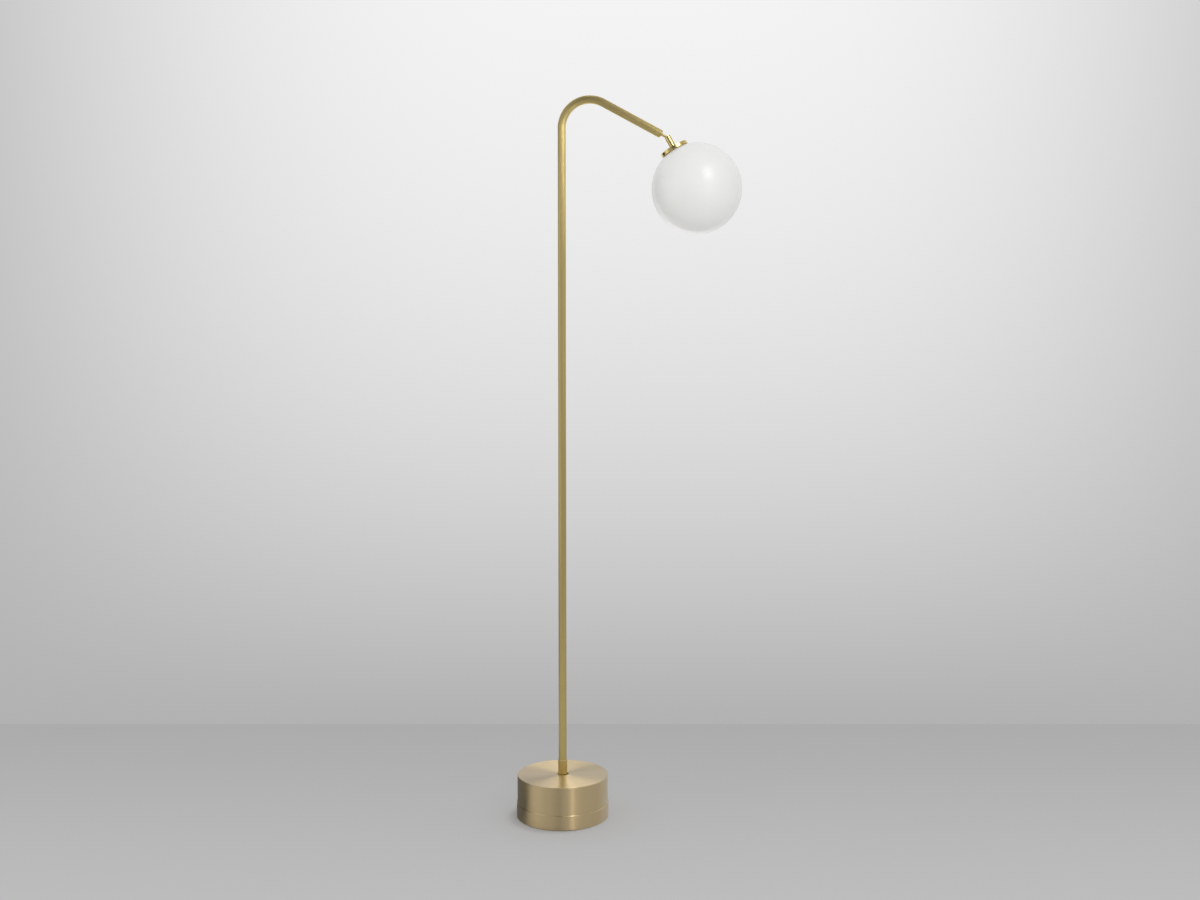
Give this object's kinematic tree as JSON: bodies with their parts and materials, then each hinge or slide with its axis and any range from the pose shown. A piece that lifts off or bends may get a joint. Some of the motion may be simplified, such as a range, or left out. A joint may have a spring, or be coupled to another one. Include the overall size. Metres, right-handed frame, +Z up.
{
  "type": "globe floor lamp",
  "caption": "Floor lamp with a cane-shaped brass stem on a heavy two-tier round base and an opal glass globe hung from a slotted ball joint at the end of the sloping arm.",
  "frame": {"origin": "on the pole's axis, on the pad's underside, where the lamp stands", "axes": "+Z up along the pole, +X along the arm towards the globe, +Y to the back of the base where the lead enters"},
  "size_m": [0.4522, 0.1885, 1.4499],
  "materials": {
    "brushed_brass": "fine brushed, satin lacquer",
    "polished_brass": "polished",
    "opal_glass": "gloss opal",
    "iron_casting": "as cast, black primer",
    "plated_steel": "zinc plated",
    "foot_pad": "matt",
    "black_plastic": "fine satin",
    "white_plastic": "satin",
    "flex_sheath": "smooth",
    "holder_ceramic": "glazed",
    "bulb_diffuser": "frosted",
    "clear_silicone": "matt translucent"
  },
  "bodies": {
    "stand": {"base_pad": "foot_pad", "bottom_plate": "plated_steel", "plate_screws": "plated_steel", "base_ring": "brushed_brass", "base_weight": "iron_casting", "base_drum": "brushed_brass", "cord_gland": "black_plastic", "gland_nut": "black_plastic", "terminal_block": "white_plastic", "terminal_screws": "plated_steel", "earth_screw": "plated_steel", "stem_ferrule": "brushed_brass", "stem_nipple": "plated_steel", "nipple_washer": "plated_steel", "nipple_locknut": "plated_steel", "stem": "brushed_brass", "stem_flex": "flex_sheath", "arm_end_plug": "brushed_brass"},
    "swivel_stud": {"ball_stud": "polished_brass", "stud_washer": "plated_steel", "stud_nut": "plated_steel"},
    "head": {"knuckle_barrel": "polished_brass", "ball_seat": "white_plastic", "disc_springs": "plated_steel", "cap_nipple": "plated_steel", "cap": "polished_brass", "cap_locknut": "plated_steel", "holder_bracket": "plated_steel", "holder_screws": "plated_steel", "lamp_holder": "holder_ceramic", "head_flex": "flex_sheath", "bulb_base": "white_plastic", "bulb": "bulb_diffuser", "globe": "opal_glass", "globe_gasket": "clear_silicone"}
  },
  "joints": [
    {"name": "knuckle_swivel", "type": "hinge", "parent": "stand", "child": "swivel_stud", "pos_m": [0.2114, 0, 1.36622], "axis": [0.8813, 0, -0.4726], "range_deg": [-170, 170]},
    {"name": "head_tilt", "type": "hinge", "parent": "swivel_stud", "child": "head", "pos_m": [0.2114, 0, 1.36622], "axis": [0, 1, 0], "range_deg": [-37, 58]}
  ]
}
